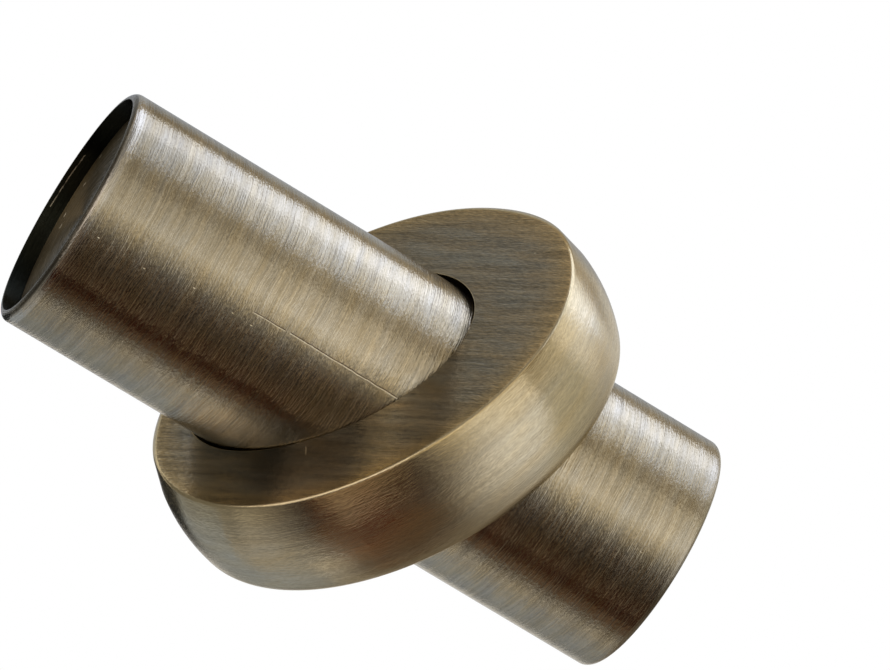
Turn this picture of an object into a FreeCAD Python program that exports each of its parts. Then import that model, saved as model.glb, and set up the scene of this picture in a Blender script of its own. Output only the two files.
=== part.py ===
import FreeCAD, Part
import math
import os
import Sketcher

# Curtain pole finial: a tube that slides over the end of a round curtain pole, a thick ring that
# is bored at a slant and slid over the tube, a flat disc that closes the tube's outer end, and the
# grub screw that goes through the ring and the tube's wall and locks all of it to the pole.
#
# Millimetres. The origin is the centre of the mouth that takes the pole. +X runs back along the
# pole, so the finial itself lies on the -X side, and +Z is up. The ring leans in the XZ plane.

doc = FreeCAD.newDocument("curtain_pole_finial")

# Driving dimensions: name, value and what it measures
DIMENSIONS = [
    ("pole_diameter", 25.0, "round curtain pole that the tube goes over"),
    ("pole_clearance", 0.25, "gap between pole and tube, all round"),
    ("sleeve_length", 74.7, "tube from mouth to outer end"),
    ("sleeve_wall", 1.25, "tube wall"),
    ("sleeve_rim_land", 0.1, "flat left inside the polished round at the tube's outer end"),
    ("disc_recess", 1.9, "outer end of the tube to the face of the disc"),
    ("disc_thickness", 3.0, "disc pressed into the tube"),
    ("disc_seat_step", 0.25, "shoulder in the tube that the disc is pressed against"),
    ("disc_chamfer", 0.3, "bevel on the outer edge of the disc's face"),
    ("ring_diameter", 52.3, "over the crown of the rim"),
    ("ring_thickness", 12.5, "between the two flat faces"),
    ("ring_tilt", 32.2, "degrees between the ring's axis and the tube's"),
    ("ring_station", 34.4, "pole mouth to the ring's centre, along the tube"),
    ("ring_dome_radius", 17.6, "section of the domed rim"),
    ("ring_edge_radius", 2.2, "round between each flat face and the dome"),
    ("ring_clearance", 0.1, "gap between tube and ring on each side"),
    ("ring_bore_rise", 0.65, "how far the bore is stretched upwards, to let the ring lean"),
    ("ring_bore_drop", 0.25, "how far the bore is stretched downwards"),
    ("ring_bore_break", 0.15, "radius of the edge where the bore meets the flat faces"),
    ("screw_diameter", 4.0, "grub screw"),
    ("screw_recess", 1.18, "ring's crown to the screw's key end, when backed off"),
    ("screw_point_diameter", 2.0, "rim of the cupped point"),
    ("screw_cup_depth", 0.5, "hollow of the cupped point"),
    ("screw_end_chamfer", 0.4, "bevel at the key end"),
    ("screw_key_width", 2.0, "hexagon socket, across flats"),
    ("screw_key_depth", 2.5, "hexagon socket, straight part"),
    ("screw_drill_angle", 120.0, "degrees, included angle of the drill point under the socket"),
    ("screw_play", 0.05, "gap between screw and tapped hole, all round"),
    ("screw_setback", 0.2, "screw point to the wall of the pole's bore, when backed off"),
    ("screw_crown_offset", 1.2, "lowest point of the ring's crown to the screw's axis"),
    ("sleeve_hole_clearance", 0.3, "gap between screw and the hole in the tube, all round"),
]

sizes = doc.addObject("Spreadsheet::Sheet", "Sizes")
for line, (alias, value, meaning) in enumerate(DIMENSIONS, start=1):
    sizes.set(f"A{line}", alias)
    sizes.set(f"B{line}", str(value))
    sizes.set(f"C{line}", meaning)
    sizes.setAlias(f"B{line}", alias)
doc.recompute()

# Sizes that follow from the driving ones, each where the pieces meet
POLE_BORE_RADIUS = "(Sizes.pole_diameter / 2 + Sizes.pole_clearance)"
SLEEVE_RADIUS = f"({POLE_BORE_RADIUS} + Sizes.sleeve_wall)"
DISC_RADIUS = f"({POLE_BORE_RADIUS} + Sizes.disc_seat_step)"
SLEEVE_EDGE_RADIUS = f"({SLEEVE_RADIUS} - {DISC_RADIUS} - Sizes.sleeve_rim_land)"
RING_BORE_RADIUS = f"({SLEEVE_RADIUS} + Sizes.ring_clearance)"
SCREW_FROM_RING = "(Sizes.ring_diameter / 2 * sin(Sizes.ring_tilt) - Sizes.screw_crown_offset)"
SCREW_RADIUS = "(Sizes.screw_diameter / 2)"
SCREW_POINT = f"({POLE_BORE_RADIUS} + Sizes.screw_setback)"
SCREW_LENGTH = f"(Sizes.ring_diameter / 2 * cos(Sizes.ring_tilt) - Sizes.screw_recess - {SCREW_POINT})"

# Numbers that sketches give to the start, end and centre of a curve
START, END, CENTRE = 1, 2, 3

# Two lengths count as one below this difference
SAME_SIZE = 1e-4


def value_of(expression):
    """Number that an expression on the sheet gives now."""
    result = sizes.evalExpression(expression)
    return float(getattr(result, "Value", result))


def new_body(label):
    """Body for one piece, named as the piece is."""
    body = doc.addObject("PartDesign::Body", label)
    body.Label = label
    return body


def new_sketch(body, name, plane):
    """Sketch on one of the body's own origin planes."""
    sketch = body.newObject("Sketcher::SketchObject", name)
    support = next(f for f in body.Origin.OriginFeatures if f.Role == plane)
    sketch.AttachmentSupport = [(support, "")]
    sketch.MapMode = "FlatFace"
    return sketch


def place(sketch, curve, end, across, along):
    """Fix one end of a curve by an expression for each coordinate; None leaves it on the axis."""
    for axis, kind, expression in ((-2, "DistanceX", across), (-1, "DistanceY", along)):
        if expression is None:
            sketch.addConstraint(Sketcher.Constraint("PointOnObject", curve, end, axis))
            continue
        distance = Sketcher.Constraint(kind, -1, 1, curve, end, value_of(expression))
        number = sketch.addConstraint(distance)
        sketch.setExpression(f"Constraints[{number}]", expression)


def draw_path(sketch, corners):
    """Straight edges through corners, each given as a pair of expressions."""
    points = [FreeCAD.Vector(*(value_of(c or "0") for c in corner), 0) for corner in corners]
    edges = [
        sketch.addGeometry(Part.LineSegment(here, there), False)
        for here, there in zip(points, points[1:])
    ]
    for before, after in zip(edges, edges[1:]):
        sketch.addConstraint(Sketcher.Constraint("Coincident", before, END, after, START))
    for edge, corner in zip(edges, corners):
        place(sketch, edge, START, *corner)
    return edges


def draw_outline(sketch, corners):
    """Closed outline of straight edges through corners."""
    edges = draw_path(sketch, corners + corners[:1])
    sketch.addConstraint(Sketcher.Constraint("Coincident", edges[-1], END, edges[0], START))


def set_radius(sketch, curve, expression):
    """Bind the radius of an arc or circle."""
    number = sketch.addConstraint(Sketcher.Constraint("Radius", curve, value_of(expression)))
    sketch.setExpression(f"Constraints[{number}]", expression)


def draw_slot(sketch, radius, rise, drop):
    """Upright slot: a half circle above the first axis, one below it and the sides between them."""
    half_width = value_of(radius)
    up = FreeCAD.Vector(0, value_of(rise), 0)
    down = FreeCAD.Vector(0, -value_of(drop), 0)
    across = FreeCAD.Vector(half_width, 0, 0)
    along = FreeCAD.Vector(0, half_width, 0)
    curves = [sketch.addGeometry(shape, False) for shape in (
        Part.Arc(up + across, up + along, up - across),
        Part.LineSegment(up - across, down - across),
        Part.Arc(down - across, down - along, down + across),
        Part.LineSegment(down + across, up + across),
    )]
    for before, after in zip(curves, curves[1:] + curves[:1]):
        sketch.addConstraint(Sketcher.Constraint("Tangent", before, END, after, START))
    upper, _, lower, _ = curves
    place(sketch, upper, CENTRE, None, rise)
    place(sketch, lower, CENTRE, None, f"-{drop}")
    set_radius(sketch, upper, radius)


def draw_circle(sketch, across, along, radius):
    """Circle whose centre and radius are expressions."""
    middle = FreeCAD.Vector(value_of(across or "0"), value_of(along or "0"), 0)
    circle = sketch.addGeometry(Part.Circle(middle, FreeCAD.Vector(0, 0, 1), value_of(radius)), False)
    place(sketch, circle, CENTRE, across, along)
    set_radius(sketch, circle, radius)


def draw_hexagon(sketch, across_flats):
    """Regular hexagon about the origin, with two sides along the sketch's first axis."""
    inner = f"{across_flats} / 2"
    corner = f"{across_flats} / 2 / cos(30)"
    draw_outline(sketch, [
        (corner, None),
        (f"{corner} / 2", inner),
        (f"-{corner} / 2", inner),
        (f"-{corner}", None),
        (f"-{corner} / 2", f"-{inner}"),
        (f"{corner} / 2", f"-{inner}"),
    ])


def revolve(body, kind, sketch, name, axis):
    """Full turn of a sketch about one of its own axes, added as a Revolution or cut as a Groove."""
    turned = body.newObject(f"PartDesign::{kind}", name)
    turned.Profile = sketch
    turned.ReferenceAxis = (sketch, [axis])
    turned.Angle = 360.0
    doc.recompute()
    return turned


def cut_through(body, sketch, name, both_ways=False):
    """Pocket right through the body, against the sketch's normal or both ways from its plane."""
    before = body.Shape.Volume
    pocket = body.newObject("PartDesign::Pocket", name)
    pocket.Profile = sketch
    pocket.Type = "ThroughAll"
    if both_ways:
        pocket.SideType = "Symmetric"
    doc.recompute()
    if not body.Shape.Volume < before:
        raise RuntimeError(f"{name} removed nothing")
    return pocket


def round_edges(body, name, base, chooses, radius):
    """Fillet on the edges of a feature that a test chooses."""
    chosen = [f"Edge{i}" for i, edge in enumerate(base.Shape.Edges, start=1) if chooses(edge)]
    fillet = body.newObject("PartDesign::Fillet", name)
    fillet.Base = (base, chosen)
    fillet.setExpression("Radius", radius)
    doc.recompute()


def is_circle(edge, radius):
    """Whether an edge is a full circle of this radius."""
    if not isinstance(edge.Curve, Part.Circle) or not edge.isClosed():
        return False
    return abs(edge.Curve.Radius - radius) < SAME_SIZE


def is_bore_mouth(edge):
    """Whether an edge lies on one of the ring's flat faces and isn't the circle around that face."""
    if isinstance(edge.Curve, Part.Circle):
        return False
    tilt = math.radians(value_of("Sizes.ring_tilt"))
    ring_axis = FreeCAD.Vector(-math.cos(tilt), 0, math.sin(tilt))
    heights = [abs(vertex.Point.dot(ring_axis)) for vertex in edge.Vertexes]
    return all(abs(height - value_of(RING_HALF)) < SAME_SIZE for height in heights)


# Sleeve: a length of tube, turned out at the outer end to seat the disc, its ends polished round,
# with one hole underneath for the screw
SHOULDER = "(Sizes.disc_recess + Sizes.disc_thickness - Sizes.sleeve_length)"
sleeve = new_body("sleeve_tube")
sleeve_section = new_sketch(sleeve, "sleeve_section", "XZ_Plane")
draw_outline(sleeve_section, [
    ("-Sizes.sleeve_length", DISC_RADIUS),
    (SHOULDER, DISC_RADIUS),
    (SHOULDER, POLE_BORE_RADIUS),
    (None, POLE_BORE_RADIUS),
    (None, SLEEVE_RADIUS),
    ("-Sizes.sleeve_length", SLEEVE_RADIUS),
])
sleeve_turned = revolve(sleeve, "Revolution", sleeve_section, "sleeve_turned", "H_Axis")
round_edges(
    sleeve, "sleeve_rounded", sleeve_turned,
    lambda edge: is_circle(edge, value_of(SLEEVE_RADIUS)), SLEEVE_EDGE_RADIUS)
sleeve_hole = new_sketch(sleeve, "sleeve_hole", "XY_Plane")
draw_circle(
    sleeve_hole, f"-Sizes.ring_station - {SCREW_FROM_RING}", None,
    f"{SCREW_RADIUS} + Sizes.sleeve_hole_clearance")
cut_through(sleeve, sleeve_hole, "sleeve_drilled")

# End disc: a flat disc with a bevelled face, pressed in against the tube's shoulder
disc = new_body("end_disc")
disc.setExpression("Placement.Base.x", SHOULDER)
disc_section = new_sketch(disc, "disc_section", "XZ_Plane")
draw_outline(disc_section, [
    (None, None),
    (None, DISC_RADIUS),
    ("Sizes.disc_chamfer - Sizes.disc_thickness", DISC_RADIUS),
    ("-Sizes.disc_thickness", f"{DISC_RADIUS} - Sizes.disc_chamfer"),
    ("-Sizes.disc_thickness", None),
])
revolve(disc, "Revolution", disc_section, "disc_turned", "H_Axis")

# Slanted ring: turned about its own axis, with flat faces and a domed rim, then bored at a slant
# along the tube's axis, and drilled and tapped through the bottom for the screw
RING_HALF = "(Sizes.ring_thickness / 2)"
DOME_CENTRE = "(Sizes.ring_diameter / 2 - Sizes.ring_dome_radius)"
DOME_EDGE = f"({DOME_CENTRE} + sqrt(Sizes.ring_dome_radius ^ 2 - {RING_HALF} ^ 2))"
TAPPED_RADIUS = f"({SCREW_RADIUS} + Sizes.screw_play)"
ring = new_body("slanted_ring")
ring.setExpression("Placement.Base.x", "-Sizes.ring_station")
ring_section = new_sketch(ring, "ring_section", "XZ_Plane")
ring_section.AttachmentOffset = FreeCAD.Placement(
    FreeCAD.Vector(), FreeCAD.Rotation(FreeCAD.Vector(0, 0, -1), value_of("Sizes.ring_tilt")))
ring_section.setExpression("AttachmentOffset.Rotation.Angle", "Sizes.ring_tilt")
left_edge, _, right_edge = draw_path(ring_section, [
    (f"-{RING_HALF}", DOME_EDGE),
    (f"-{RING_HALF}", None),
    (RING_HALF, None),
    (RING_HALF, DOME_EDGE),
])
place(ring_section, right_edge, END, RING_HALF, DOME_EDGE)
dome = ring_section.addGeometry(Part.Arc(
    FreeCAD.Vector(value_of(RING_HALF), value_of(DOME_EDGE), 0),
    FreeCAD.Vector(0, value_of("Sizes.ring_diameter / 2"), 0),
    FreeCAD.Vector(-value_of(RING_HALF), value_of(DOME_EDGE), 0)), False)
ring_section.addConstraint(Sketcher.Constraint("Coincident", dome, START, right_edge, END))
ring_section.addConstraint(Sketcher.Constraint("Coincident", dome, END, left_edge, START))
set_radius(ring_section, dome, "Sizes.ring_dome_radius")
ring_turned = revolve(ring, "Revolution", ring_section, "ring_turned", "H_Axis")
round_edges(
    ring, "ring_rounded", ring_turned,
    lambda edge: is_circle(edge, value_of(DOME_EDGE)), "Sizes.ring_edge_radius")
ring_bore = new_sketch(ring, "ring_bore", "YZ_Plane")
draw_slot(ring_bore, RING_BORE_RADIUS, "Sizes.ring_bore_rise", "Sizes.ring_bore_drop")
ring_bored = cut_through(ring, ring_bore, "ring_bored", both_ways=True)
round_edges(ring, "ring_edges_broken", ring_bored, is_bore_mouth, "Sizes.ring_bore_break")
tapped_hole = new_sketch(ring, "tapped_hole", "XY_Plane")
draw_circle(tapped_hole, f"-{SCREW_FROM_RING}", None, TAPPED_RADIUS)
cut_through(ring, tapped_hole, "ring_tapped")

# Grub screw: cupped point up against the pole, hexagon socket down; its thread is not modelled
screw = new_body("grub_screw")
screw.setExpression("Placement.Base.x", f"-Sizes.ring_station - {SCREW_FROM_RING}")
screw.setExpression("Placement.Base.z", f"-{SCREW_POINT}")
POINT_RADIUS = "(Sizes.screw_point_diameter / 2)"
screw_section = new_sketch(screw, "screw_section", "XZ_Plane")
draw_outline(screw_section, [
    (None, "-Sizes.screw_cup_depth"),
    (POINT_RADIUS, None),
    (SCREW_RADIUS, f"{POINT_RADIUS} - {SCREW_RADIUS}"),
    (SCREW_RADIUS, f"Sizes.screw_end_chamfer - {SCREW_LENGTH}"),
    (f"{SCREW_RADIUS} - Sizes.screw_end_chamfer", f"-{SCREW_LENGTH}"),
    (None, f"-{SCREW_LENGTH}"),
])
revolve(screw, "Revolution", screw_section, "screw_turned", "V_Axis")
SOCKET_FLOOR = f"(Sizes.screw_key_depth - {SCREW_LENGTH})"
key_socket = new_sketch(screw, "key_socket", "XY_Plane")
key_socket.setExpression("AttachmentOffset.Base.z", SOCKET_FLOOR)
draw_hexagon(key_socket, "Sizes.screw_key_width")
cut_through(screw, key_socket, "screw_broached")
key_drill = new_sketch(screw, "key_drill", "XZ_Plane")
draw_outline(key_drill, [
    (None, SOCKET_FLOOR),
    ("Sizes.screw_key_width / 2", SOCKET_FLOOR),
    (None, f"{SOCKET_FLOOR} + Sizes.screw_key_width / 2 / tan(Sizes.screw_drill_angle / 2)"),
])
revolve(screw, "Groove", key_drill, "screw_drilled", "V_Axis")

# Every object has to be sound before any file is written
doc.recompute()
for item in doc.Objects:
    if "Invalid" in item.State or "Error" in item.State:
        raise RuntimeError(f"{item.Label} failed: {item.State}")
pieces = [sleeve, disc, ring, screw]
for piece in pieces:
    if piece.Shape.isNull() or not piece.Shape.isValid() or len(piece.Shape.Solids) != 1:
        raise RuntimeError(f"{piece.Label} is not one sound solid")

os.makedirs("parts", exist_ok=True)
for piece in pieces:
    piece.Shape.exportStep(f"parts/{piece.Label}.step")
    box = piece.Shape.optimalBoundingBox()
    print(
        f"{piece.Label}: {piece.Shape.Volume:.1f} mm3, x {box.XMin:.2f} {box.XMax:.2f}, "
        f"y {box.YMin:.2f} {box.YMax:.2f}, z {box.ZMin:.2f} {box.ZMax:.2f}")
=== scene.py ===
import math

import bmesh
import bpy
import numpy as np
from mathutils import Matrix


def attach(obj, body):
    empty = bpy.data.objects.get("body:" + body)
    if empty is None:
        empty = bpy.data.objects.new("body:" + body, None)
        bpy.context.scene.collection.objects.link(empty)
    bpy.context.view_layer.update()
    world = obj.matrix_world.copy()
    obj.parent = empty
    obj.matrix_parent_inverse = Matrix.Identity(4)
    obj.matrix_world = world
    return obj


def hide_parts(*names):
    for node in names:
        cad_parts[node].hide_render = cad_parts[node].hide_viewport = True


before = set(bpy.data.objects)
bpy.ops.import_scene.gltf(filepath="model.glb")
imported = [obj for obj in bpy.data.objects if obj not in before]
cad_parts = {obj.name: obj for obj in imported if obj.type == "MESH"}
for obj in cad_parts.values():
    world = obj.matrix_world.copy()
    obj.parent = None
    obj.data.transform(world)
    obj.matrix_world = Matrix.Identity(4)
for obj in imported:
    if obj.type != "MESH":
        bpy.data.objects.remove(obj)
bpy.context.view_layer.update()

# Sleeve tube. A 28 mm tube of antique brass with a 1.25 mm wall, open where the pole goes in.
# It is cut to length and turned out at its far end to seat the disc. Both ends are polished round,
# the outside is brushed round and round, and the screw passes one plain hole underneath.
MM = 0.001
TUBE_LENGTH = 74.7
TUBE_RADIUS = 14.0
TUBE_ROUND = 0.9
BORE_RADIUS = 12.75
MOUTH_BREAK = 0.1
SEAT_RADIUS = 13.0
SEAT_DEPTH = 4.9
SEAT_BREAK = 0.06
SEAT_CORNER = 0.03
TUBE_HOLE = 2.3
SCREW_X = -47.13

# Each wall is a grid of points that goes round in 256 divisions, with its seam on top. Round each
# hole underneath, a window of 8 rows and 24 divisions is left open in it, and filled with 5 rings.
DIVISIONS = 256
WINDOW_COLUMNS = slice(DIVISIONS // 2 - 12, DIVISIONS // 2 + 12)
WINDOW_ROWS = 8
WINDOW_REACH = 4.0
HOLE_RINGS = 5
SHARP_EDGE = math.radians(38)


def rounded(corners, radii, steps, hold):
    """An outline with its corners rounded. The arc at a corner touches both sides at a distance of
    radius / tan(half angle) from the corner, and its points turn evenly between those two places.
    One more point hold mm before and after the arc keeps the sides flat. Radius 0 is a plain point."""
    corners = np.asarray(corners, float)
    outline = []
    for corner, radius, before, after in zip(corners, radii, np.roll(corners, 1, 0), np.roll(corners, -1, 0)):
        if not radius:
            outline.append(corner[None])
            continue
        back = (before - corner) / np.linalg.norm(before - corner)
        on = (after - corner) / np.linalg.norm(after - corner)
        half = 0.5 * math.acos(np.clip(back @ on, -1, 1))
        touch = radius / math.tan(half)
        middle = corner + (back + on) / np.linalg.norm(back + on) * radius / math.sin(half)
        sweep = math.pi - 2 * half
        share = np.linspace(0, 1, steps + 1)[:, None]
        first = corner + back * touch - middle
        last = corner + on * touch - middle
        arc = middle + (np.sin((1 - share) * sweep) * first + np.sin(share * sweep) * last) / math.sin(sweep)
        outline += [arc[:1] + back * hold, arc, arc[-1:] + on * hold]
    return np.concatenate(outline)


def run_along(outline):
    """The distance travelled along an outline up to each of its points."""
    return np.concatenate([[0.0], np.cumsum(np.linalg.norm(np.diff(outline, axis=0), axis=1))])


def lathe(outline, turn):
    """An outline (along, out) turned about the X axis: x is along, and y and z are out times the
    cosine and the sine of the turn."""
    out = outline[:, 1, None]
    return np.stack([outline[:, 0, None] + 0 * turn, out * np.cos(turn), out * np.sin(turn)], -1)


def window_frame(points, rows, columns):
    """The grid points round a window, in the order of their bearing from the screw's axis, the
    first of them once more at the end, and those bearings."""
    around = [points[rows.start, columns], points[rows.stop, columns.start + 1:columns.stop + 1],
              points[rows.start + 1:rows.stop + 1, columns.start], points[rows, columns.stop]]
    around = np.concatenate(around)
    bearing = np.arctan2(around[:, 1], around[:, 0] - SCREW_X)
    order = np.argsort(bearing)
    order = np.append(order, order[0])
    return around[order], bearing[order]


def drilled(rim, bearing, radius, height):
    """The surface between a window's frame and a round hole along Z. In plan, each point of the
    frame goes in even steps to the hole's circle, and height gives the surface's z over the plan."""
    circle = np.stack([SCREW_X + radius * np.cos(bearing), radius * np.sin(bearing)], -1)
    share = np.linspace(0, 1, HOLE_RINGS + 1)[:, None, None]
    plan = rim[:, :2] * (1 - share) + circle * share
    return np.concatenate([plan, height(plan)[..., None]], -1)


def under_tube(radius):
    """The height of the underside of a round wall about the tube's axis, over a place in plan: the
    radius and the place's y make a right-angled triangle with it."""
    return lambda plan: -np.sqrt(radius ** 2 - plan[..., 1] ** 2)


def patch(points, across, wear=0.0, tone=1.0, slot=0, windows=()):
    """One grid of points in millimetres, with the distance across the brush lines, the wear and the
    tone at each point, a factor on the colour that carries painted light and shade, its material's slot, and
    the windows left open in it."""
    skip = np.zeros((points.shape[0] - 1, points.shape[1] - 1), bool)
    for window in windows:
        skip[window] = True
    return {"points": points, "across": np.broadcast_to(across, points.shape[:2]),
            "wear": np.broadcast_to(wear, points.shape[:2]), "tone": np.broadcast_to(tone, points.shape[:2]),
            "slot": np.broadcast_to(slot, skip.shape), "skip": skip}


def joined(name, patches, materials):
    """One closed mesh of several grids. Four neighbouring points of a grid make a face. Points
    nearer than a tenth of a micrometre are one, which closes the seams, edges and poles: each is
    rounded to such steps, after a shift that keeps whole sizes off the border between two steps."""
    flat = np.concatenate([p["points"].reshape(-1, 3) for p in patches])
    values = {label: np.concatenate([p[label].reshape(-1) for p in patches])
              for label in ("across", "wear", "tone")}
    starts = np.cumsum([0] + [p["across"].size for p in patches[:-1]])
    cells = []
    slots = []
    for start, p in zip(starts, patches):
        index = start + np.arange(p["across"].size).reshape(p["across"].shape)
        corners = np.stack([index[:-1, :-1], index[1:, :-1], index[1:, 1:], index[:-1, 1:]], -1)
        cells.append(corners[~p["skip"]])
        slots.append(p["slot"][~p["skip"]])
    used, cells = np.unique(np.concatenate(cells), return_inverse=True)
    cells = cells.reshape(-1, 4)
    flat = flat[used]
    slots = np.concatenate(slots)
    keys = np.round(flat * 1e4 + 0.377).astype(np.int64)
    _, first, same = np.unique(keys, axis=0, return_index=True, return_inverse=True)
    welded = same.reshape(-1)[cells]
    folded = welded == np.roll(welded, -1, 1)
    whole = ~folded.any(1)
    pole = ~whole & (folded.sum(1) == 1)
    pick = (folded[pole].argmax(1)[:, None] + [1, 2, 3]) % 4
    triangles = np.take_along_axis(welded[pole], pick, 1)
    corner_points = np.concatenate([cells[whole].reshape(-1),
                                    np.take_along_axis(cells[pole], pick, 1).reshape(-1)])

    mesh = bpy.data.meshes.new(name)
    mesh.from_pydata(flat[first] * MM, [], welded[whole].tolist() + triangles.tolist())
    mesh.polygons.foreach_set("material_index", np.concatenate([slots[whole], slots[pole]]).astype(np.int32))
    mesh.polygons.foreach_set("use_smooth", np.ones(len(mesh.polygons), bool))
    for label, value in values.items():
        layer = mesh.attributes.new(label, "FLOAT", "CORNER")
        layer.data.foreach_set("value", value[used][corner_points].astype(np.float32))
    shell = bmesh.new()
    shell.from_mesh(mesh)
    bmesh.ops.recalc_face_normals(shell, faces=shell.faces)
    shell.to_mesh(mesh)
    shell.free()
    mesh.set_sharp_from_angle(angle=SHARP_EDGE)
    for material in materials:
        mesh.materials.append(material)
    made = bpy.data.objects.new(name, mesh)
    bpy.context.scene.collection.objects.link(made)
    return made


def linear(colour):
    """A written sRGB colour, such as #B5A382, as the linear RGBA that Blender's sockets take."""
    srgb = np.array([int(colour[i:i + 2], 16) for i in (1, 3, 5)]) / 255
    return (*np.where(srgb <= 0.04045, srgb / 12.92, ((srgb + 0.055) / 1.055) ** 2.4), 1.0)


def add(tree, kind, inputs=(), **settings):
    """Adds one node, makes its settings, and fills its inputs from values or other nodes' outputs."""
    node = tree.nodes.new("ShaderNode" + kind)
    for setting, value in settings.items():
        setattr(node, setting, value)
    for key, value in dict(inputs).items():
        if isinstance(value, bpy.types.NodeSocket):
            tree.links.new(value, node.inputs[key])
        else:
            node.inputs[key].default_value = value
    return node


# The brush lines wander by up to SWAY mm over SWAY_SIZE mm, and scratches waver by less. Nicks and
# hair lines together are as strong as LINES, and the broad bands a little over half as strong.
SWAY = 0.35
SWAY_SIZE = 10 / 3
WAVER = 0.25
WAVER_SIZE = 10 / 9
LINES = 1.1
BANDS = 0.6
SCRATCH_DEPTH = 1.5
BARE_METAL = "#E6DCC4"
# A line's hollow scatters light more than its crest, which the cloth has polished. Where the metal
# turns away from the eye, the lacquer greys its gleam.
HOLLOW_ROUGH = 1.3
CREST_ROUGH = 0.75
LACQUER_TINT = (0.72, 0.70, 0.66, 1.0)


def brushed_brass(name, cool, warm, worn, axis, centre, spacing, length, nicked, contrast, relief,
                  roughness=0.2, marks=()):
    """Antique brass, brushed with grit in lines that run round an axis, or along it where centre is
    None, then toned and lacquered. Light spreads across the lines and stays narrow along them. To
    the eye it is short nicks and long hair lines, paler or browner, over soft clouds of grey and
    olive. The grit leaves lines of about 0.05 mm. They are drawn spacing mm apart, as they show.
    The hair lines are length mm long. Of the lines' strength, the nicks have nicked and the hair
    lines have the rest. Contrast is how much paler or browner they are than the metal between
    them, and relief is their height in mm."""
    material = bpy.data.materials.new(name)
    material.use_nodes = True
    tree = material.node_tree
    tree.nodes.clear()
    place = add(tree, "TexCoord").outputs["Object"]
    across = add(tree, "Attribute", attribute_name="across").outputs["Fac"]
    wear = add(tree, "Attribute", attribute_name="wear").outputs["Fac"]
    toning_and_painted_light = add(tree, "Attribute", attribute_name="tone").outputs["Fac"]
    if centre is None:
        lay = add(tree, "CombineXYZ", {"X": axis[0], "Y": axis[1], "Z": axis[2]}).outputs[0]
    else:
        arm = add(tree, "VectorMath", {0: place, 1: [c * MM for c in centre]}, operation="SUBTRACT")
        lay = add(tree, "VectorMath", {0: axis, 1: arm.outputs[0]}, operation="CROSS_PRODUCT").outputs[0]

    sway = add(tree, "TexNoise", {"Vector": place, "Scale": 1 / (SWAY_SIZE * MM), "Detail": 1.0})
    swayed = add(tree, "Math", {0: sway.outputs["Fac"], 1: SWAY, 2: across}, operation="MULTIPLY_ADD")

    def lines(gap, run, detail, low, high):
        """A noise stretched along the brush lines, gap mm wide and run mm long, from low to high.
        Nearly all of the plain noise lies between 0.3 and 0.7."""
        step = add(tree, "Math", {0: swayed.outputs[0], 1: 1 / gap}, operation="MULTIPLY")
        shift = add(tree, "CombineXYZ", {"X": step.outputs[0]})
        along = add(tree, "VectorMath", {0: place, 1: (1 / (run * MM),) * 3, 2: shift.outputs[0]},
                    operation="MULTIPLY_ADD")
        noise = add(tree, "TexNoise", {"Vector": along.outputs[0], "Scale": 1.0, "Detail": detail})
        return add(tree, "MapRange", {"Value": noise.outputs["Fac"], "From Min": 0.3, "From Max": 0.7,
                                      "To Min": low, "To Max": high}).outputs[0]

    def scratch(start, end, width):
        """Near 1 on the line from start to end, in mm, and 0 from width away. The distance is taken
        to the nearest place on the line, after fine noise has moved the point a little."""
        start = np.array(start) * MM
        run = np.array(end) * MM - start
        arm = add(tree, "VectorMath", {0: wavered, 1: start}, operation="SUBTRACT").outputs[0]
        share = add(tree, "VectorMath", {0: arm, 1: run / (run @ run)}, operation="DOT_PRODUCT")
        share = add(tree, "Math", {0: share.outputs["Value"], 1: 1.0}, operation="MULTIPLY", use_clamp=True)
        foot = add(tree, "VectorMath", {0: run, "Scale": share.outputs[0]}, operation="SCALE").outputs[0]
        gap = add(tree, "VectorMath", {0: arm, 1: foot}, operation="DISTANCE").outputs["Value"]
        return add(tree, "MapRange", {"Value": gap, "From Min": 0.0, "From Max": width * MM,
                                      "To Min": 1.0, "To Max": 0.0}).outputs[0]

    # Nicks are four times as long as wide. The broad bands are five lines wide, and the clouds of
    # toning are fourteen lines wide and 7 mm long.
    nicks = lines(spacing, spacing * 4, 1.0, -nicked, nicked)
    hairs = lines(spacing * 1.15, length, 1.0, nicked - LINES, LINES - nicked)
    broad = lines(spacing * 5, spacing * 60, 1.0, 1 - BANDS * contrast, 1 + BANDS * contrast)
    clouds = lines(spacing * 14, 7.0, 3.0, 0.0, 1.0)
    hair = add(tree, "Math", {0: nicks, 1: hairs}, operation="ADD").outputs[0]
    tone = add(tree, "Math", {0: hair, 1: contrast, 2: broad}, operation="MULTIPLY_ADD").outputs[0]
    # The tone attribute carries each piece's painted light and shade into the colour.
    tone = add(tree, "Math", {0: tone, 1: toning_and_painted_light}, operation="MULTIPLY").outputs[0]
    hue = add(tree, "Mix", {"Factor": clouds, "A": linear(cool), "B": linear(warm)}, data_type="RGBA")
    hue = add(tree, "Mix", {"Factor": wear, "A": hue.outputs["Result"], "B": linear(worn)}, data_type="RGBA")
    metal = add(tree, "VectorMath", {0: hue.outputs["Result"], "Scale": tone}, operation="SCALE").outputs[0]
    if marks:
        noise = add(tree, "TexNoise", {"Vector": place, "Scale": 1 / (WAVER_SIZE * MM), "Detail": 2.0})
        waver = add(tree, "VectorMath", {0: noise.outputs["Color"], 1: (-0.5,) * 3}, operation="ADD")
        wavered = add(tree, "VectorMath", {0: waver.outputs[0], 1: (WAVER * MM,) * 3, 2: place},
                      operation="MULTIPLY_ADD").outputs[0]
        scored = 0.0
        for mark in marks:
            scored = add(tree, "Math", {0: scratch(*mark), 1: scored}, operation="MAXIMUM").outputs[0]
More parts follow.
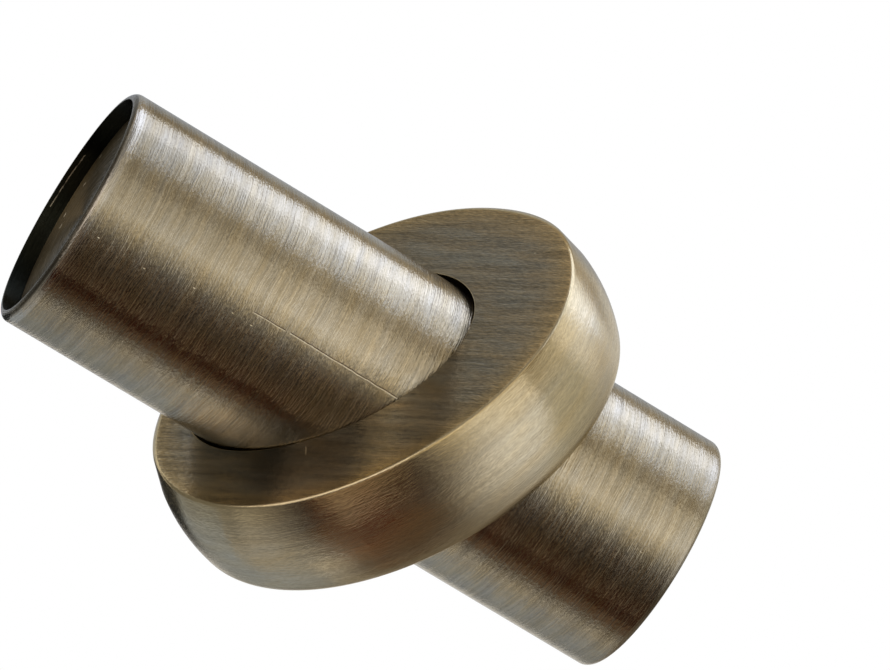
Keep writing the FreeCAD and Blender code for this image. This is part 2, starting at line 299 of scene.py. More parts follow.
        # A scratch skips where the noise is low, and elsewhere it bares the metal and cuts into it.
        broken = add(tree, "MapRange", {"Value": noise.outputs["Fac"], "From Min": 0.2, "From Max": 0.45})
        scored = add(tree, "Math", {0: scored, 1: broken.outputs[0]}, operation="MULTIPLY").outputs[0]
        metal = add(tree, "Mix", {"Factor": scored, "A": metal, "B": linear(BARE_METAL)}, data_type="RGBA")
        metal = metal.outputs["Result"]
        hair = add(tree, "Math", {0: scored, 1: -SCRATCH_DEPTH, 2: hair}, operation="MULTIPLY_ADD").outputs[0]
    rough = add(tree, "MapRange", {"Value": hair, "From Min": -1.0, "From Max": 1.0,
                                   "To Min": roughness * HOLLOW_ROUGH, "To Max": roughness * CREST_ROUGH})
    bump = add(tree, "Bump", {"Strength": 1.0, "Distance": relief * MM, "Height": hair})
    shader = add(tree, "BsdfPrincipled", {
        "Base Color": metal, "Metallic": 1.0, "Roughness": rough.outputs[0],
        "Specular Tint": LACQUER_TINT, "Anisotropic": 0.94, "Anisotropic Rotation": 0.25,
        "Tangent": lay, "Normal": bump.outputs[0]})
    add(tree, "OutputMaterial", {"Surface": shader.outputs[0]})
    return material


turn = math.radians(-270) + np.linspace(0, 2 * math.pi, DIVISIONS + 1)
stations = np.linspace(SCREW_X - WINDOW_REACH, SCREW_X + WINDOW_REACH, WINDOW_ROWS + 1)
outer_wall = [(x, TUBE_RADIUS) for x in stations]
bore_wall = [(x, BORE_RADIUS) for x in stations[::-1]]
# The polish at both ends reaches 1.15 mm in and fades out, and the mouth's is weaker.
BRIGHT_END = 1.15
BRIGHT_FADE = 0.3
MOUTH_POLISH = 0.25
# The wall's outline goes from the seat over the outer end and along the outside to the mouth, and
# back along the inside.
corners = [(-TUBE_LENGTH, SEAT_RADIUS), (-TUBE_LENGTH, TUBE_RADIUS), (BRIGHT_END - TUBE_LENGTH, TUBE_RADIUS),
           (BRIGHT_END + BRIGHT_FADE - TUBE_LENGTH, TUBE_RADIUS), *outer_wall,
           (-BRIGHT_END - BRIGHT_FADE, TUBE_RADIUS), (-BRIGHT_END, TUBE_RADIUS), (0.0, TUBE_RADIUS),
           (0.0, BORE_RADIUS), *bore_wall, (SEAT_DEPTH - TUBE_LENGTH, BORE_RADIUS),
           (SEAT_DEPTH - TUBE_LENGTH, SEAT_RADIUS)]
radii = [SEAT_BREAK, TUBE_ROUND, *[0.0] * (len(outer_wall) + 4), TUBE_ROUND, MOUTH_BREAK,
         *[0.0] * len(bore_wall), SEAT_CORNER, SEAT_CORNER]
tube_outline = rounded(corners, radii, steps=12, hold=0.01)
tube_outline = np.concatenate([tube_outline, tube_outline[:1]])
tube_grid = lathe(tube_outline, turn)
tube_across = run_along(tube_outline)[:, None]
first_out = int(np.argmin(np.abs(tube_outline - outer_wall[0]).sum(1)))
first_in = int(np.argmin(np.abs(tube_outline - bore_wall[0]).sum(1)))
outer_window = (slice(first_out, first_out + WINDOW_ROWS), WINDOW_COLUMNS)
bore_window = (slice(first_in, first_in + WINDOW_ROWS), WINDOW_COLUMNS)
outer_rim, bearing = window_frame(tube_grid, *outer_window)
bore_rim, _ = window_frame(tube_grid, *bore_window)
outer_plate = drilled(outer_rim, bearing, TUBE_HOLE, under_tube(TUBE_RADIUS))
bore_plate = drilled(bore_rim, bearing, TUBE_HOLE, under_tube(BORE_RADIUS))
share = np.linspace(0, 1, 4)[:, None, None]
hole_wall = outer_plate[-1] * (1 - share) + bore_plate[-1] * share

# Round brushed brass: deep, streaky lines that spread each light into a long stripe along the tube.
# Painted light and shade along the tube: it is darker at the outer end and palest by the ring, and a painted
# reflection darkens a band along the front.
# The lip is rubbed bright outside its crest and darker inside it, as far out as DARK_LIP,
# and a little less far at the top.
PAINTED_LIGHT_ALONG = [(-74.7, 0.83), (-66, 0.90), (-58, 1.0), (-50, 1.06), (-43, 1.13), (-24, 1.0), (-12, 0.93),
          (-1.2, 1.0), (0, 0.7)]
# A painted reflection: a dark band round the tube at this turn, with its spread in degrees and its depth.
PAINTED_DARK_BAND_TURN = math.radians(-200)
PAINTED_DARK_BAND_SPREAD = 14
PAINTED_DARK_BAND_DEPTH = 0.45
DARK_LIP = 13.82
LIP_TONE = 0.2
LIP_FADE = 0.08
LIP_THIN = math.radians(95)
LIP_THINNING = 0.11
LIP_FOCUS = 7
from_end = np.minimum(tube_outline[:, 0] + TUBE_LENGTH, -tube_outline[:, 0])
end_wear = np.clip((BRIGHT_END + BRIGHT_FADE - from_end) / BRIGHT_FADE, 0, 1)[:, None]
end_wear = np.where(tube_outline[:, :1] > SCREW_X, MOUTH_POLISH * end_wear, end_wear)
# Painted light and shade: the colour darkens toward the outer end and at the mouth, and pales by the ring.
tube_tone_and_painted_light = np.interp(tube_outline[:, 0], *zip(*PAINTED_LIGHT_ALONG))[:, None]
# Painted reflection: the dark band along the front of the tube.
tube_tone_and_painted_light = tube_tone_and_painted_light * (1 - PAINTED_DARK_BAND_DEPTH * np.exp(-(np.degrees(turn - PAINTED_DARK_BAND_TURN) / PAINTED_DARK_BAND_SPREAD) ** 2))
lip_edge = DARK_LIP - LIP_THINNING * np.exp(LIP_FOCUS * (np.cos(turn - LIP_THIN) - 1))
lip = np.clip((lip_edge - tube_outline[:, 1:]) / LIP_FADE + 0.5, 0, 1)
lip = lip * (tube_outline[:, :1] < SEAT_DEPTH - TUBE_LENGTH)
tube_tone_and_painted_light = tube_tone_and_painted_light * (1 - lip) + LIP_TONE * lip
end_wear = end_wear * (1 - lip)
# One long scratch in two runs along the tube, and a few pits where the lacquer blistered.
PIT_LENGTH = 0.1
tube_scratches = [((-54.0, -10.95, 8.72), (-50.2, -10.91, 8.77), 0.11),
                  ((-49.5, -10.90, 8.78), (-36.2, -10.93, 8.75), 0.12)]
tube_pits = [(-55.9, -11.62, 7.80, 0.14), (-53.6, -11.69, 7.70, 0.12), (-60.8, -11.55, 7.91, 0.12),
             (-66.4, -12.05, 7.13, 0.11), (-72.2, -11.90, 7.37, 0.12), (-4.9, -11.33, 8.23, 0.12)]
tube_marks = tube_scratches + [((x, y, z), (x + PIT_LENGTH, y, z), width) for x, y, z, width in tube_pits]
tube_brass = brushed_brass("brushed antique brass tube", "#B9B09D", "#BDAE90", "#D6CDBB",
                           (1.0, 0.0, 0.0), (0.0, 0.0, 0.0), spacing=0.145, length=12.0, nicked=0.42,
                           contrast=0.18, relief=0.021, marks=tube_marks)

# Inside, the brass is as it was drawn and has gone green-brown: dull and nearly black, with one thin
# bright streak round the wall of the recess.
STREAK_WIDTH = 0.08
streak_turn = np.radians(np.linspace(318, 348, 5))
streak = np.stack([np.linspace(-74.25, -74.05, 5), SEAT_RADIUS * np.cos(streak_turn),
                   SEAT_RADIUS * np.sin(streak_turn)], -1)
wall_marks = [(start, end, STREAK_WIDTH) for start, end in zip(streak[:-1], streak[1:])]
bore_brass = brushed_brass("oxidised brass bore", "#656B5E", "#6A6A58", "#5A4E3E",
                           (1.0, 0.0, 0.0), (0.0, 0.0, 0.0), spacing=0.24, length=12.0, nicked=0.5,
                           contrast=0.3, relief=0.010, roughness=0.36, marks=wall_marks)
INSIDE_LIMIT = SEAT_RADIUS + 0.04
dark_inside = np.maximum(tube_outline[:-1, 1], tube_outline[1:, 1])[:, None] < INSIDE_LIMIT
tube = joined("sleeve_tube_brushed", [
    patch(tube_grid, tube_across, end_wear, tube_tone_and_painted_light, dark_inside.astype(int), (outer_window, bore_window)),
    patch(outer_plate, outer_plate[..., 0]),
    patch(bore_plate, bore_plate[..., 0], slot=1),
    patch(hole_wall, hole_wall[..., 2], slot=1)], [tube_brass, bore_brass])
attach(tube, "root")
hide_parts("sleeve_tube")

# End disc. A 3 mm brass disc pressed against the tube's shoulder, 1.9 mm inside its outer end.
# It is left darker and smoother than the rest by its antique lacquer, with a bevelled edge.
DISC_FACE = -72.8
DISC_BACK = -69.8
DISC_RADIUS = 12.985
DISC_BEVEL = 0.3
BEVEL_ROUND = 0.08
BACK_ROUND = 0.05
SPECK_WIDTH = 0.22
disc_outline = rounded([(DISC_FACE, 0.0), (DISC_FACE, DISC_RADIUS - DISC_BEVEL),
                        (DISC_FACE + DISC_BEVEL, DISC_RADIUS), (DISC_BACK, DISC_RADIUS), (DISC_BACK, 0.0)],
                       [0.0, BEVEL_ROUND, BEVEL_ROUND, BACK_ROUND, 0.0], steps=4, hold=0.02)
disc_grid = lathe(disc_outline, turn)
# Its thick lacquer over faint turned rings gives a dark brown satin, with a few bright specks.
disc_marks = [((DISC_FACE, y, z), (DISC_FACE, y + 0.1, z + 0.2), SPECK_WIDTH) for y, z in
              ((9.2, -3.6), (11.7, -1.1), (5.4, -7.2), (7.4, -7.1))]
disc_brass = brushed_brass("dark antique brass disc", "#5C5342", "#5E523A", "#5E4A3A",
                           (1.0, 0.0, 0.0), (0.0, 0.0, 0.0), spacing=0.24, length=12.0, nicked=0.5,
                           contrast=0.2, relief=0.004, roughness=0.5, marks=disc_marks)
disc = joined("end_disc_dark", [patch(disc_grid, run_along(disc_outline)[:, None])], [disc_brass])
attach(disc, "root")
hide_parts("end_disc")

# Slanted ring. A thick brass ring turned with a domed rim and flat faces, and bored at 32.2 degrees
# to its own axis, so that it stands slanted on the tube. Its faces are brushed straight and its rim
# round, and the screw's thread is tapped from below.
RING_MIDDLE = np.array([-34.4, 0.0, 0.0])
RING_TILT = math.radians(32.2)
RING_AXIS = np.array([-math.cos(RING_TILT), 0.0, math.sin(RING_TILT)])
RING_TOP = np.array([math.sin(RING_TILT), 0.0, math.cos(RING_TILT)])
SIDE = np.array([0.0, 1.0, 0.0])
RING_HALF = 6.25
CROWN_RADIUS = 26.15
DOME_RADIUS = 17.6
RING_ROUND = 2.2
RING_BORE = 14.1
BORE_RISE = 0.65
BORE_DROP = -0.25
BORE_STEP = 0.032
BORE_BREAK = 0.08
TAPPED_HOLE = 2.05
COUNTERSINK = 0.15
THREAD_PITCH = 0.7
THREAD_DEPTH = 0.38
THREAD_FADE = 0.5
TAP_ROWS = 110

# The front edge is crisp on the side at CRISP_TURN, with a border that falls from the flat face to
# it, and gives way to a bevel on the hidden side. The rows of points along both are as many.
CRISP_ROUND = 0.38
CRISP_TURN = math.radians(296)
CRISP_LIMIT = 0.1
CRISP_FADE = 0.7
BORDER_RADIUS = 9.0
BORDER_FALL = math.radians(3.5)
HIDDEN_BEVEL = math.radians(36)
HIDDEN_BORDER = 0.55
BEVEL_EASE = 0.25
BORDER_ROWS = 7
EDGE_ROWS = 17
BEVEL_ROWS = 8


def about_ring(along, out, turn):
    """Points at a distance along the ring's axis and out from it, at a turn from its top."""
    spoke = np.cos(turn)[..., None] * RING_TOP + np.sin(turn)[..., None] * SIDE
    return RING_MIDDLE + np.asarray(along)[..., None] * RING_AXIS + np.asarray(out)[..., None] * spoke


def bore_line(turn, radius):
    """The upright slot that is bored along the tube: y is the radius times the sine of the turn, z
    the radius times its cosine, and the upper half is raised and the lower one lowered a little.
    One passes into the other where the cosine is under BORE_STEP."""
    lift = np.clip(np.cos(turn) / BORE_STEP, -1, 1)
    lift = (BORE_RISE + BORE_DROP) / 2 + lift * (BORE_RISE - BORE_DROP) / 2
    return radius * np.sin(turn), radius * np.cos(turn) + lift


def bore_mouth(turn, radius, along):
    """Where the bore's wall meets the plane at a distance along the ring's axis: x follows from the
    plane's equation for the wall's y and z."""
    y, z = bore_line(turn, radius)
    x = RING_MIDDLE[0] + (math.sin(RING_TILT) * z - along) / math.cos(RING_TILT)
    return np.stack([x, y, z], -1)


def dome_height(plan):
    """The z of the ring's domed rim under a point in plan, found by Newton's steps from near its
    lowest point: on the dome, the distance out less that of the dome's middle, squared, plus the
    distance along, squared, is the dome's radius squared."""
    z = np.full(plan.shape[:-1], -23.0)
    for _ in range(30):
        arm = np.concatenate([plan, z[..., None]], -1) - RING_MIDDLE
        along = arm @ RING_AXIS
        spoke = arm - along[..., None] * RING_AXIS
        out = np.linalg.norm(spoke, axis=-1)
        reach = out - (CROWN_RADIUS - DOME_RADIUS)
        miss = reach ** 2 + along ** 2 - DOME_RADIUS ** 2
        slope = 2 * reach * spoke[..., 2] / out + 2 * along * RING_AXIS[2]
        z = z - miss / slope
    return z


def thread_groove(turn, z):
    """The depth of a right-hand thread's groove, 0 on the crest and 1 at the root: a triangle wave
    of z / pitch plus the turn, stretched by 1.6 about its middle and cut flat at both ends."""
    wave = np.abs(2 * np.mod(z / THREAD_PITCH + turn / (2 * math.pi), 1) - 1)
    return np.clip(1.6 * wave - 0.3, 0, 1)


def edge_arcs(radius, fall):
    """The arcs at one edge of the ring, as rows of along and out, and the dome's angle where they end.
    A border of large radius falls from the flat face by a small angle, and a round joins it to the
    dome: its middle lies the dome's radius less its own from the dome's middle, and the border's
    radius less its own from that of the border."""
    along = RING_HALF - radius - (BORDER_RADIUS - radius) * (1 - math.cos(fall))
    out = CROWN_RADIUS - DOME_RADIUS + math.sqrt((DOME_RADIUS - radius) ** 2 - along ** 2)
    border_out = out - (BORDER_RADIUS - radius) * math.sin(fall)
    dome_angle = math.asin(along / (DOME_RADIUS - radius))
    border = math.pi / 2 - fall * np.linspace(0, 1, BORDER_ROWS)
    border_arc = np.stack([RING_HALF - BORDER_RADIUS + BORDER_RADIUS * np.sin(border),
                           border_out + BORDER_RADIUS * np.cos(border)], -1)
    bend = np.linspace(math.pi / 2 - fall, dome_angle, EDGE_ROWS)
    return border_arc, np.stack([along + radius * np.sin(bend), out + radius * np.cos(bend)], -1), dome_angle


def bevelled(arc):
    """The hidden side's edge: its round is planed off straight from the flat face up to the bevel's
    angle, and the rest of the round stays. The corner of face and bevel is a parabola, as far to
    both sides as BEVEL_EASE."""
    middle = np.array([RING_HALF - RING_ROUND, arc[0, 1]])
    start = middle + RING_ROUND * np.array([math.cos(HIDDEN_BEVEL), math.sin(HIDDEN_BEVEL)])
    slope = np.array([math.sin(HIDDEN_BEVEL), -math.cos(HIDDEN_BEVEL)])
    foot = start + slope * (RING_HALF - start[0]) / slope[0]
    dome_bend = math.atan2(arc[-1, 0] - middle[0], arc[-1, 1] - middle[1])
    bend = np.linspace(math.pi / 2 - HIDDEN_BEVEL, dome_bend, EDGE_ROWS - BEVEL_ROWS)
    rest = middle + RING_ROUND * np.stack([np.sin(bend), np.cos(bend)], -1)
    share = np.linspace(0, 1, BEVEL_ROWS)[:, None]
    eased = foot + (1 - share) ** 2 * (0, -BEVEL_EASE) - share ** 2 * slope * BEVEL_EASE
    return np.concatenate([eased, rest])


ring_turn = np.linspace(0, 2 * math.pi, DIVISIONS + 1)
# 0 where the front edge is crisp and 1 where it is bevelled, with a smooth step between them.
hidden_side = np.clip((CRISP_LIMIT - np.cos(ring_turn - CRISP_TURN)) / CRISP_FADE, 0, 1)
hidden_side = (hidden_side ** 2 * (3 - 2 * hidden_side))[:, None]
crisp_border, crisp_arc, crisp_angle = edge_arcs(CRISP_ROUND, BORDER_FALL)
plain_border, plain_arc, plain_angle = edge_arcs(RING_ROUND, 0.0)
hidden_arc = bevelled(plain_arc)
hidden_border = np.linspace(hidden_arc[0] - (0, HIDDEN_BORDER), hidden_arc[0], BORDER_ROWS)
front_border = crisp_border[:, None] * (1 - hidden_side) + hidden_border[:, None] * hidden_side
front_arc = crisp_arc[:, None] * (1 - hidden_side) + hidden_arc[:, None] * hidden_side
front_angle = crisp_angle * (1 - hidden_side[:, 0]) + plain_angle * hidden_side[:, 0]
rear_border = plain_border[:, None] * (-1, 1) + 0 * hidden_side
rear_arc = plain_arc[:, None] * (-1, 1) + 0 * hidden_side
# Across the dome, a row of points lies close to each edge, and the rest are those of the window.
dome_turn = np.concatenate([[front_angle * 0.98],
                            np.linspace(0.14, -0.26, WINDOW_ROWS + 1)[:, None] + 0 * ring_turn,
                            [0 * ring_turn - plain_angle * 0.99]])
dome_arc = np.stack([DOME_RADIUS * np.sin(dome_turn),
                     CROWN_RADIUS - DOME_RADIUS + DOME_RADIUS * np.cos(dome_turn)], -1)
ring_outline = np.concatenate([front_arc, dome_arc, rear_arc[::-1]])
ring_grid = about_ring(ring_outline[..., 0], ring_outline[..., 1], ring_turn)
first_row = len(front_arc) + 1
steps = np.linalg.norm(np.diff(ring_outline, axis=0), axis=-1)
ring_across = np.concatenate([0 * steps[:1], np.cumsum(steps, 0)])
ring_across = ring_across - ring_across[first_row]
dome_window = (slice(first_row, first_row + WINDOW_ROWS), WINDOW_COLUMNS)
dome_rim, ring_bearing = window_frame(ring_grid, *dome_window)
dome_plate = drilled(dome_rim, ring_bearing, TAPPED_HOLE + COUNTERSINK, dome_height)

# Straight brushed brass: the faces' lines lean 23.7 degrees from the ring's top, and look short,
# grainy and browner than the rim. The border is rubbed paler. Near the front, by the tube, a patch of
# painted shade darkens the face where it mirrors the tube's dark side; it fades over 5 mm and 24 degrees.
GRAIN_LEAN = math.radians(23.7)
BORDER_WEAR = 2.2
BREAK_WEAR = 0.2
PAINTED_SHADE_OUT = 17
PAINTED_SHADE_WIDTH = 5
PAINTED_SHADE_TURN = 260
PAINTED_SHADE_SPREAD = 24
PAINTED_SHADE_DEPTH = 0.74
grain = math.cos(GRAIN_LEAN) * RING_TOP - math.sin(GRAIN_LEAN) * SIDE
over_grain = np.cross(RING_AXIS, grain)
faces = []
bore_ends = []
for side, border in ((1, front_border), (-1, rear_border)):
    edge = bore_mouth(ring_turn, RING_BORE + BORE_BREAK, side * RING_HALF)
    border_grid = about_ring(border[..., 0], border[..., 1], ring_turn)
    # The rows lie closer together by the bore and by the border.
    share = np.array([0.0, 0.02, 0.06, 0.15, 0.3, 0.5, 0.7, 0.8, 0.88, 0.94, 1.0])[:, None, None]
    flat_grid = np.concatenate([edge * (1 - share) + border_grid[0] * share, border_grid[1:]])
    reach = np.linalg.norm(flat_grid - RING_MIDDLE - side * RING_HALF * RING_AXIS, axis=-1)
    from_edge = border[-1, :, 1] - reach
    # Painted shade and painted reflection: a dark patch on the face beside the tube.
    painted_shade = np.exp(-((reach - PAINTED_SHADE_OUT) / PAINTED_SHADE_WIDTH) ** 2
                      - ((np.degrees(ring_turn) - PAINTED_SHADE_TURN) / PAINTED_SHADE_SPREAD) ** 2)
    faces.append(patch(flat_grid, (flat_grid - RING_MIDDLE) @ over_grain,
                       np.exp(-(from_edge / BORDER_WEAR) ** 2), 1 - PAINTED_SHADE_DEPTH * painted_shade, slot=1))
    corner = bore_mouth(ring_turn, RING_BORE, side * RING_HALF)
    inner = corner - np.array([-side, 0.0, 0.0]) * BORE_BREAK
    bend = np.linspace(0, 1, 5)[:, None, None]
    broken = edge * (1 - bend) ** 2 + 2 * corner * bend * (1 - bend) + inner * bend ** 2
    faces.append(patch(broken, bend[..., 0], BREAK_WEAR))
    bore_ends.append(inner)
# Along the bore, the rows from 0.05 to 0.47 of its length are those of the window.
along_bore = np.concatenate([[0.0], np.linspace(0.05, 0.47, WINDOW_ROWS + 1), [0.75, 1.0]])[:, None, None]
bore_grid = bore_ends[0] * (1 - along_bore) + bore_ends[1] * along_bore
ring_bore_window = (slice(1, 1 + WINDOW_ROWS), WINDOW_COLUMNS)
ring_bore_rim, _ = window_frame(bore_grid, *ring_bore_window)
ring_bore_plate = drilled(ring_bore_rim, ring_bearing, TAPPED_HOLE,
                          lambda plan: BORE_DROP + under_tube(RING_BORE)(plan))
# The tapped wall's radius is the hole's less the depth of the thread, which fades out at both mouths.
mouth_z = dome_plate[-1, :, 2] + COUNTERSINK
depth = np.linspace(0, 1, TAP_ROWS)[:, None]
tap_z = mouth_z * (1 - depth) + ring_bore_plate[-1, :, 2] * depth
fade = np.clip(np.minimum(tap_z - mouth_z, ring_bore_plate[-1, :, 2] - tap_z) / THREAD_FADE, 0, 1)
tap_radius = TAPPED_HOLE - THREAD_DEPTH * fade * thread_groove(ring_bearing[None], tap_z)
tap_wall = np.stack([SCREW_X + tap_radius * np.cos(ring_bearing), tap_radius * np.sin(ring_bearing),
                     tap_z], -1)
tap_wall = np.concatenate([dome_plate[-1:], tap_wall])

# Round brushed brass: the rim's lines are shallower than the tube's, so it gleams more evenly, and
# its brass is yellower, worn bright along both edges from EDGE_WEAR mm off the middle. A painted
# highlight, a paler patch, leans across the rim: it moves 2.6 mm along it for every 16 degrees.
EDGE_WEAR = 5.3
EDGE_FADE = 0.7
PAINTED_HIGHLIGHT_TURN = 285
PAINTED_HIGHLIGHT_SPREAD = 16
PAINTED_HIGHLIGHT_ALONG = 1.8
PAINTED_HIGHLIGHT_WIDTH = 2.6
PAINTED_HIGHLIGHT_GAIN = 0.62
edge_wear = np.clip((np.abs(ring_outline[..., 0]) - EDGE_WEAR) / EDGE_FADE, 0, 1)
# Painted highlight: a paler patch across the dome of the rim.
highlight_way = (np.degrees(ring_turn) - PAINTED_HIGHLIGHT_TURN) / PAINTED_HIGHLIGHT_SPREAD
highlight_reach = (ring_outline[..., 0] - PAINTED_HIGHLIGHT_ALONG - PAINTED_HIGHLIGHT_WIDTH * highlight_way) / PAINTED_HIGHLIGHT_WIDTH
ring_painted_highlight = 1 + PAINTED_HIGHLIGHT_GAIN * np.exp(-highlight_reach ** 2 - highlight_way ** 2)
ring_brass_round = brushed_brass("brushed antique brass rim", "#C6BBA2", "#CBBA98", "#D0BC92",
                                 tuple(RING_AXIS), tuple(RING_MIDDLE), spacing=0.17, length=6.0,
                                 nicked=0.72, contrast=0.12, relief=0.006)
face_marks = [((-41.55, -15.4, 0.38), (-41.40, -16.7, 0.61), 0.10),
              ((-29.45, 9.31, 19.65), (-29.40, 9.31, 19.75), 0.12)]
ring_brass_flat = brushed_brass("straight brushed antique brass face", "#A19F96", "#AC9E86", "#C4AE86",
                                tuple(grain), None, spacing=0.18, length=5.0, nicked=0.68,
                                contrast=0.34, relief=0.008, marks=face_marks)
ring = joined("slanted_ring_brushed", [
    patch(ring_grid, ring_across, edge_wear, ring_painted_highlight, windows=[dome_window]),
    patch(dome_plate, dome_plate[..., 2]),
    patch(bore_grid, bore_grid[..., 0], windows=[ring_bore_window]),
    patch(ring_bore_plate, ring_bore_plate[..., 0]),
    patch(tap_wall, tap_wall[..., 2]),
    *faces], [ring_brass_round, ring_brass_flat])
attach(ring, "root")
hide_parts("slanted_ring")

# Grub screw. A short M4 screw of blackened steel with a hexagon socket at its lower end and a
# cupped point that bites the pole. It turns in the ring's thread and reaches in through the tube.
SCREW_RADIUS = 2.0
POINT_Z = -12.95
KEY_Z = -20.95
POINT_RADIUS = 1.0
KEY_END_RADIUS = 1.6
CUP_RADIUS = 0.5
CUP_DEPTH = 0.5
SOCKET_MOUTH = 1.35
SOCKET_FLAT = 1.0
SOCKET_DEPTH = 2.5
SOCKET_CONE = 0.58
SCREW_POINTS = 97
BODY_ROWS = 97
screw_turn = np.linspace(0, 2 * math.pi, SCREW_POINTS)
# The socket's radius is half its width over the cosine of the turn from the middle of a flat. The
# body is the thread, cut off by a cone at both ends, and the rows go from the cup to the socket.
hexagon = SOCKET_FLAT / np.cos(np.mod(screw_turn, math.pi / 3) - math.pi / 6)
body_z = np.linspace(POINT_Z, KEY_Z, BODY_ROWS)[:, None]
cone = np.minimum(POINT_RADIUS + (POINT_Z - body_z), KEY_END_RADIUS + (body_z - KEY_Z))
body_radius = np.minimum(SCREW_RADIUS - THREAD_DEPTH * thread_groove(screw_turn, body_z), cone)
none = np.zeros((1, SCREW_POINTS))
screw_radius = np.concatenate([none, none + CUP_RADIUS, body_radius, none + SOCKET_MOUTH, hexagon[None],
                               hexagon[None], 0.5 * hexagon[None], none])
screw_z = np.concatenate([none + POINT_Z - CUP_DEPTH, none + POINT_Z - CUP_DEPTH / 2, body_z + none,
                          none + KEY_Z, none + KEY_Z, none + KEY_Z + SOCKET_DEPTH,
                          none + KEY_Z + SOCKET_DEPTH + SOCKET_CONE / 2,
                          none + KEY_Z + SOCKET_DEPTH + SOCKET_CONE])
screw_grid = np.stack([SCREW_X + screw_radius * np.cos(screw_turn), screw_radius * np.sin(screw_turn),
                       screw_z], -1)
# Steel blackened in an oil bath: nearly black, with a faint brown bloom in patches of about a
# millimetre, and a soft gleam on the thread's crests.
BLOOM_SIZE = 10 / 9
screw_steel = bpy.data.materials.new("blackened steel")
screw_steel.use_nodes = True
tree = screw_steel.node_tree
tree.nodes.clear()
place = add(tree, "TexCoord").outputs["Object"]
bloom = add(tree, "TexNoise", {"Vector": place, "Scale": 1 / (BLOOM_SIZE * MM), "Detail": 4.0})
colour = add(tree, "Mix", {"Factor": bloom.outputs["Fac"], "A": linear("#2B2A2C"), "B": linear("#5A5650")},
             data_type="RGBA")
rough = add(tree, "MapRange", {"Value": bloom.outputs["Fac"], "To Min": 0.3, "To Max": 0.55})
bump = add(tree, "Bump", {"Strength": 0.5, "Distance": 0.01 * MM, "Height": bloom.outputs["Fac"]})
shader = add(tree, "BsdfPrincipled", {"Base Color": colour.outputs["Result"], "Metallic": 1.0,
                                      "Roughness": rough.outputs[0], "Normal": bump.outputs[0]})
add(tree, "OutputMaterial", {"Surface": shader.outputs[0]})
screw = joined("grub_screw_threaded", [patch(screw_grid, 0.0)], [screw_steel])
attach(screw, "root")
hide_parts("grub_screw")

# Studio. The finial is held by its pole over a plain pale table, with white all round it and plain
# cards that shade part of the white: what the brushed metal shows is this room.
floor_grid = np.array([(-1.4, -1.4, -1.25), (1.4, -1.4, -1.25), (1.4, 0.75, -1.25), (-1.4, 0.75, -1.25)])
floor_mesh = bpy.data.meshes.new("table_top")
floor_mesh.from_pydata(floor_grid.tolist(), [], [(0, 1, 2, 3)])
# Matt wall paint on a flat board: an even warm white without gloss.
floor_paint = bpy.data.materials.new("matt white paint")
floor_paint.use_nodes = True
tree = floor_paint.node_tree
tree.nodes.clear()
shader = add(tree, "BsdfPrincipled", {"Base Color": linear("#F2F0EC"), "Roughness": 0.8})
add(tree, "OutputMaterial", {"Surface": shader.outputs[0]})
floor_mesh.materials.append(floor_paint)
table = bpy.data.objects.new("table_top", floor_mesh)
bpy.context.scene.collection.objects.link(table)

CARD_POINTS = 65
CARD_DISTANCE = 1.2
CARD_STEP = 0.005


def card(name, azimuth, elevation, soft, colour, strength, distance):
    """A curved card round the object, between two azimuths and two elevations in degrees: a grid of
    points at a distance from the origin. It glows evenly, so that in the metal it shows as a plain
    stripe of its own colour, and over its outer soft degrees it lets what is behind it through.
    Full circles have no ends, and a card that reaches the pole has no edge there."""
    across = np.linspace(azimuth[0], azimuth[1], CARD_POINTS)[None, :]
    up = np.linspace(elevation[0], elevation[1], CARD_POINTS)[:, None]
    level = np.cos(np.radians(up))
    grid = distance * np.stack([level * np.cos(np.radians(across)), level * np.sin(np.radians(across)),
                                np.sin(np.radians(up)) + 0 * across], -1)
    gaps = [np.full((CARD_POINTS, CARD_POINTS), soft)]
    if azimuth[1] - azimuth[0] < 360:
        gaps += [across - azimuth[0] + 0 * up, azimuth[1] - across + 0 * up]
    if elevation[0] > -90:
        gaps.append(up - elevation[0] + 0 * across)
    if elevation[1] < 90:
        gaps.append(elevation[1] - up + 0 * across)
    cover = np.clip(np.min(gaps, axis=0) / soft, 0, 1)
    cover = cover * cover * (3 - 2 * cover)
    index = np.arange(CARD_POINTS ** 2).reshape(CARD_POINTS, CARD_POINTS)
    faces = np.stack([index[:-1, :-1], index[:-1, 1:], index[1:, 1:], index[1:, :-1]], -1).reshape(-1, 4)
    mesh = bpy.data.meshes.new(name)
    mesh.from_pydata(grid.reshape(-1, 3), [], faces.tolist())
    layer = mesh.attributes.new("cover", "FLOAT", "POINT")
    layer.data.foreach_set("value", cover.reshape(-1).astype(np.float32))
    material = bpy.data.materials.new(name)
    material.use_nodes = True
    tree = material.node_tree
    tree.nodes.clear()
    glow = add(tree, "Emission", {"Color": linear(colour), "Strength": strength})
    clear = add(tree, "BsdfTransparent")
    covered = add(tree, "Attribute", attribute_name="cover")
    mixed = add(tree, "MixShader", {0: covered.outputs["Fac"], 1: clear.outputs[0], 2: glow.outputs[0]})
    add(tree, "OutputMaterial", {"Surface": mixed.outputs[0]})
    mesh.materials.append(material)
    made = bpy.data.objects.new(name, mesh)
    bpy.context.scene.collection.objects.link(made)
    made.visible_camera = False
    made.visible_diffuse = False
    made.visible_shadow = False


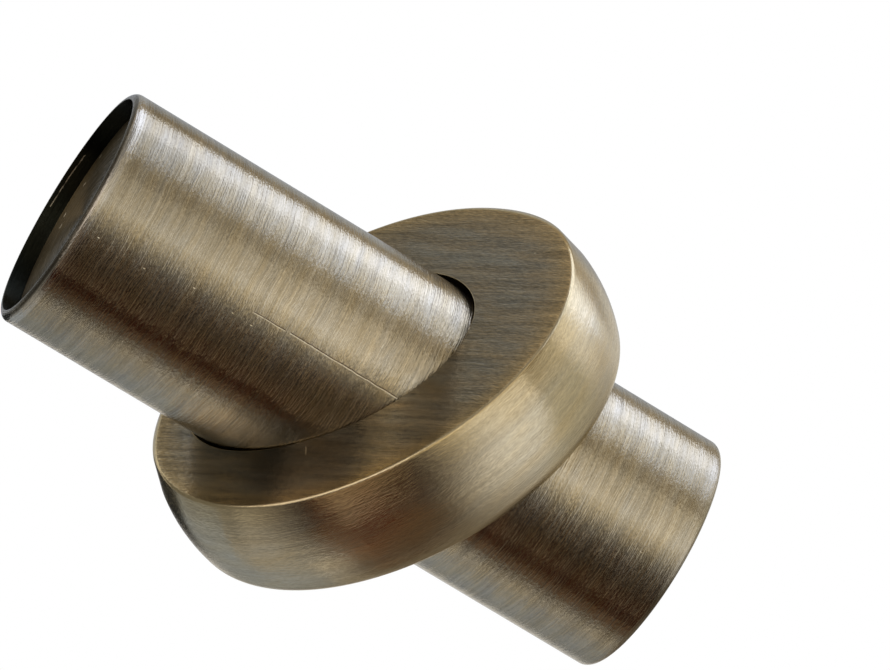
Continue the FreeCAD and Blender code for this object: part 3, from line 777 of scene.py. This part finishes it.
# Each card's name, its azimuths and elevations, its soft edge, its colour and how bright it glows. A
# later card stands a little nearer and covers the earlier ones.
cards = [
    ("below", (-180, 180), (-90, -56), 8, "#E2EEFF", 0.54),
    ("overhead", (-180, 180), (56, 90), 6, "#FFF7E7", 0.69),
    ("front_left", (-180, -62), (24, 60), 11, "#FFF3D8", 0.84),
    ("left_top", (101, 208), (8, 74), 10, "#FFFBFA", 0.31),
    ("table_front", (-159, -72), (-88, -32), 6, "#FFFBF4", 0.46),
    ("right_low", (-78, 62), (-80, 26), 36, "#FFF0DA", 0.22),
    ("dark_front", (-165, -30), (-66, 58), 40, "#FFA880", 0.015),
    ("brown_low", (-99, -42), (-44, -24), 6, "#FFCEA6", 0.15),
    ("red_low", (-112, -58), (-34, 2), 10, "#FF7044", 0.04),
    ("warm_low", (-71, -36), (-34, 4), 8, "#FFD0A6", 0.105),
    ("front_glow", (-126, -90), (-20, 28), 4, "#FFE2C3", 0.34),
    ("left_dark", (134, 228), (-74, 29), 11, "#FFFEF8", 0.20),
    ("dark_foot", (82, 135), (-67, -42), 5, "#E8F6FF", 0.03),
    ("back_low", (65, 137), (-48, 14), 9, "#ECF3FF", 0.67),
    ("gap", (-10, 42), (-1, 59), 17, "#FFF9E2", 0.57),
    ("overhead_dark", (-8, 74), (52, 90), 6, "#FFECCB", 0.28),
    ("left_bright", (119, 150), (-11, 6), 5, "#FFF5D9", 0.23),
    ("back_top", (56, 114), (35, 79), 10, "#DFE9FF", 1.36),
    ("back_box", (48, 119), (12, 44), 6, "#D8E3FF", 2.3),
    ("back_brown", (55, 135), (-4, 14), 4, "#FFF0D8", 0.42),
    ("left_rim", (166, 216), (-18, 38), 8, "#FFF8F8", 1.2),
]
for rank, values in enumerate(cards):
    card(*values, CARD_DISTANCE - CARD_STEP * rank)

world = bpy.data.worlds.new("white studio")
bpy.context.scene.world = world
world.use_nodes = True
tree = world.node_tree
tree.nodes.clear()
white = add(tree, "Background", {"Color": (1.0, 1.0, 1.0, 1.0), "Strength": 1.0})
add(tree, "OutputWorld", {"Surface": white.outputs[0]})

# Camera. It stands in front of the outer end, above the object, and is turned with it, at the place
# and angle from which the object's outlines lie as in the photograph.
camera = bpy.data.objects.new("camera", bpy.data.cameras.new("camera"))
bpy.context.scene.collection.objects.link(camera)
camera.data.sensor_width = 36.0
camera.data.lens = 259.18
camera.data.clip_start = 0.01
camera.data.clip_end = 20.0
right = (0.83675055, 0.16227151, 0.52298802)
up = (-0.50643632, 0.59256578, 0.62640885)
back = (-0.2082565, -0.78900808, 0.57800993)
turned = Matrix((right, up, back)).transposed().to_4x4()
turned.translation = (-0.175739, -0.538198, 0.405285)
camera.matrix_world = turned
bpy.context.scene.camera = camera
bpy.context.scene.view_settings.view_transform = "Standard"
